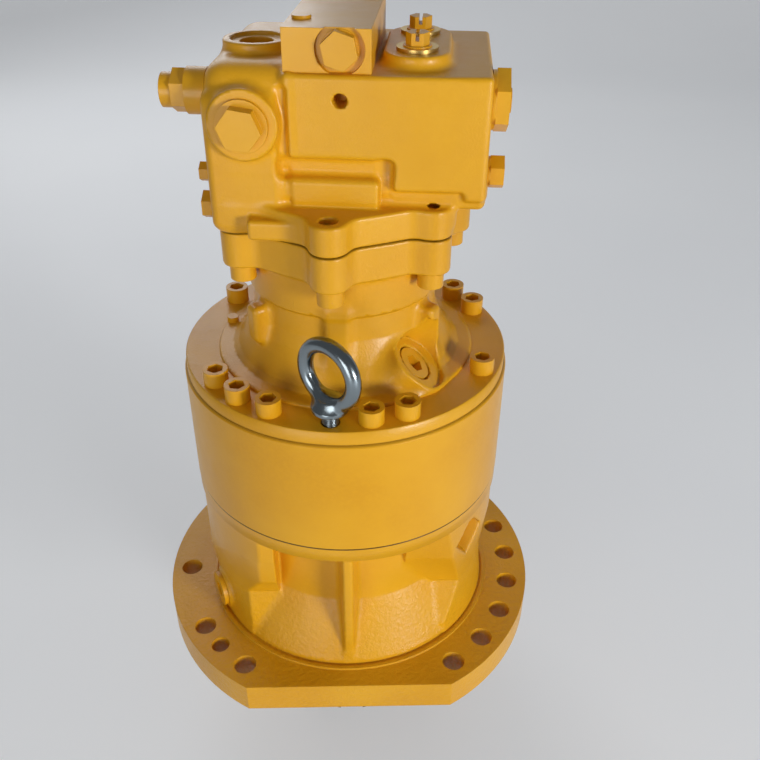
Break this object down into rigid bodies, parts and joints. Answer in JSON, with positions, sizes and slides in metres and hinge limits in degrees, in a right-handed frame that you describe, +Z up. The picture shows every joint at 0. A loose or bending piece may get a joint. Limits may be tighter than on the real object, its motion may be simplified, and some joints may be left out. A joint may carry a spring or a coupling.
{
  "type": "swing motor",
  "caption": "Hydraulic swing motor with spring-applied brake and planetary reduction gearbox, round mounting flange with flats, lifting eye and output pinion.",
  "frame": {"origin": "centre of the lower face of the mounting flange, on the output axis", "axes": "+Z up the output axis towards the port head, -Y towards the front flat of the flange, +X to the right seen from the front"},
  "size_m": [0.438, 0.378, 0.8425],
  "materials": {
    "painted_casting": "orange-yellow enamel over a cast surface",
    "painted_machined": "orange-yellow enamel over a turned surface",
    "painted_fastener": "orange-yellow enamel, thinner on edges",
    "bright_zinc": "bright zinc plated forging",
    "machined_steel": "machined and oiled",
    "hardened_steel": "dark hardened and oiled",
    "washer_brass": "passivated sealing washer",
    "seal_rubber": "matt black nitrile"
  },
  "bodies": {
    "housing": {"gear_housing": "painted_casting", "seal_cover": "hardened_steel", "seal_cover_bolts": "machined_steel", "output_seal": "seal_rubber", "lower_bearing_cup": "machined_steel", "upper_bearing_cup": "machined_steel", "housing_plugs": "painted_fastener", "ring_gear": "painted_machined", "motor_casing": "painted_casting", "case_screws": "painted_fastener", "eyebolt": "bright_zinc", "bleed_plug": "painted_fastener", "case_port_plug": "painted_fastener", "swash_plate": "machined_steel", "shaft_bearings": "machined_steel", "shaft_seal": "seal_rubber", "brake_separators": "machined_steel", "valve_plate": "machined_steel", "port_head": "painted_casting", "head_bolts": "painted_fastener", "valve_block": "painted_machined", "valve_block_plug": "painted_fastener", "valve_block_pin": "painted_fastener", "front_relief_plug": "painted_fastener", "side_relief_cartridge": "painted_fastener", "check_plugs": "painted_fastener", "check_plug_washers": "washer_brass", "top_port_plug": "painted_fastener", "end_plug_large": "painted_fastener", "end_plug_small": "painted_fastener", "side_plugs": "painted_fastener", "brake_springs": "machined_steel", "check_springs": "machined_steel"},
    "output": {"pinion_shaft": "hardened_steel", "second_carrier": "machined_steel", "second_pins": "machined_steel", "shaft_lock_plate": "machined_steel", "lower_bearing_cone": "machined_steel", "upper_bearing_cone": "machined_steel"},
    "lower_roller_cage": {"lower_rollers": "machined_steel"},
    "upper_roller_cage": {"upper_rollers": "machined_steel"},
    "stage_one": {"first_carrier": "machined_steel", "first_pins": "machined_steel", "second_sun": "machined_steel"},
    "rotor": {"drive_shaft": "machined_steel", "first_sun": "machined_steel", "cylinder_block": "machined_steel", "friction_discs": "hardened_steel", "pistons": "machined_steel"},
    "brake_piston": {"brake_piston": "machined_steel"},
    "front_poppet": {"front_check_poppet": "machined_steel"},
    "back_poppet": {"back_check_poppet": "machined_steel"},
    "second_planet_1": {"second_planet_1": "machined_steel"},
    "second_planet_2": {"second_planet_2": "machined_steel"},
    "second_planet_3": {"second_planet_3": "machined_steel"},
    "second_planet_4": {"second_planet_4": "machined_steel"},
    "first_planet_1": {"first_planet_1": "machined_steel"},
    "first_planet_2": {"first_planet_2": "machined_steel"},
    "first_planet_3": {"first_planet_3": "machined_steel"}
  },
  "joints": [
    {"name": "output_spin", "type": "hinge", "parent": "housing", "child": "output", "pos_m": [0, 0, 0], "axis": [0, 0, 1], "continuous": true},
    {"name": "lower_rollers_spin", "type": "hinge", "parent": "housing", "child": "lower_roller_cage", "pos_m": [0, 0, 0.04], "axis": [0, 0, 1], "continuous": true},
    {"name": "upper_rollers_spin", "type": "hinge", "parent": "housing", "child": "upper_roller_cage", "pos_m": [0, 0, 0.17], "axis": [0, 0, 1], "continuous": true},
    {"name": "stage_one_spin", "type": "hinge", "parent": "housing", "child": "stage_one", "pos_m": [0, 0, 0.3], "axis": [0, 0, 1], "continuous": true},
    {"name": "rotor_spin", "type": "hinge", "parent": "housing", "child": "rotor", "pos_m": [0, 0, 0.45], "axis": [0, 0, 1], "continuous": true, "deforming": ["pistons"]},
    {"name": "second_planet_1_spin", "type": "hinge", "parent": "output", "child": "second_planet_1", "pos_m": [0.084, 0, 0.25], "axis": [0, 0, 1], "continuous": true},
    {"name": "second_planet_2_spin", "type": "hinge", "parent": "output", "child": "second_planet_2", "pos_m": [0, 0.084, 0.25], "axis": [0, 0, 1], "continuous": true},
    {"name": "second_planet_3_spin", "type": "hinge", "parent": "output", "child": "second_planet_3", "pos_m": [-0.084, 0, 0.25], "axis": [0, 0, 1], "continuous": true},
    {"name": "second_planet_4_spin", "type": "hinge", "parent": "output", "child": "second_planet_4", "pos_m": [0, -0.084, 0.25], "axis": [0, 0, 1], "continuous": true},
    {"name": "first_planet_1_spin", "type": "hinge", "parent": "stage_one", "child": "first_planet_1", "pos_m": [0.07875, 0, 0.325], "axis": [0, 0, 1], "continuous": true},
    {"name": "first_planet_2_spin", "type": "hinge", "parent": "stage_one", "child": "first_planet_2", "pos_m": [-0.03938, 0.0682, 0.325], "axis": [0, 0, 1], "continuous": true},
    {"name": "first_planet_3_spin", "type": "hinge", "parent": "stage_one", "child": "first_planet_3", "pos_m": [-0.03938, -0.0682, 0.325], "axis": [0, 0, 1], "continuous": true},
    {"name": "brake_release", "type": "slide", "parent": "housing", "child": "brake_piston", "axis": [0, 0, 1], "range_m": [0, 0.002], "stiffness_N_per_m": 60000, "springref_m": -0.01, "deforming": ["brake_springs"]},
    {"name": "front_check_lift", "type": "slide", "parent": "housing", "child": "front_poppet", "axis": [0, 0, 1], "range_m": [0, 0.004], "stiffness_N_per_m": 1500, "springref_m": -0.004, "deforming": ["check_springs"]},
    {"name": "back_check_lift", "type": "slide", "parent": "housing", "child": "back_poppet", "axis": [0, 0, 1], "range_m": [0, 0.004], "stiffness_N_per_m": 1500, "springref_m": -0.004, "deforming": ["check_springs"]}
  ],
  "couplings": [
    {"joint": "lower_rollers_spin", "follows": "output_spin", "ratio": 0.4129},
    {"joint": "upper_rollers_spin", "follows": "output_spin", "ratio": 0.432},
    {"joint": "stage_one_spin", "follows": "output_spin", "ratio": 4},
    {"joint": "rotor_spin", "follows": "output_spin", "ratio": 20},
    {"joint": "second_planet_1_spin", "follows": "output_spin", "ratio": -3},
    {"joint": "second_planet_2_spin", "follows": "output_spin", "ratio": -3},
    {"joint": "second_planet_3_spin", "follows": "output_spin", "ratio": -3},
    {"joint": "second_planet_4_spin", "follows": "output_spin", "ratio": -3},
    {"joint": "first_planet_1_spin", "follows": "output_spin", "ratio": -10.667},
    {"joint": "first_planet_2_spin", "follows": "output_spin", "ratio": -10.667},
    {"joint": "first_planet_3_spin", "follows": "output_spin", "ratio": -10.667}
  ]
}
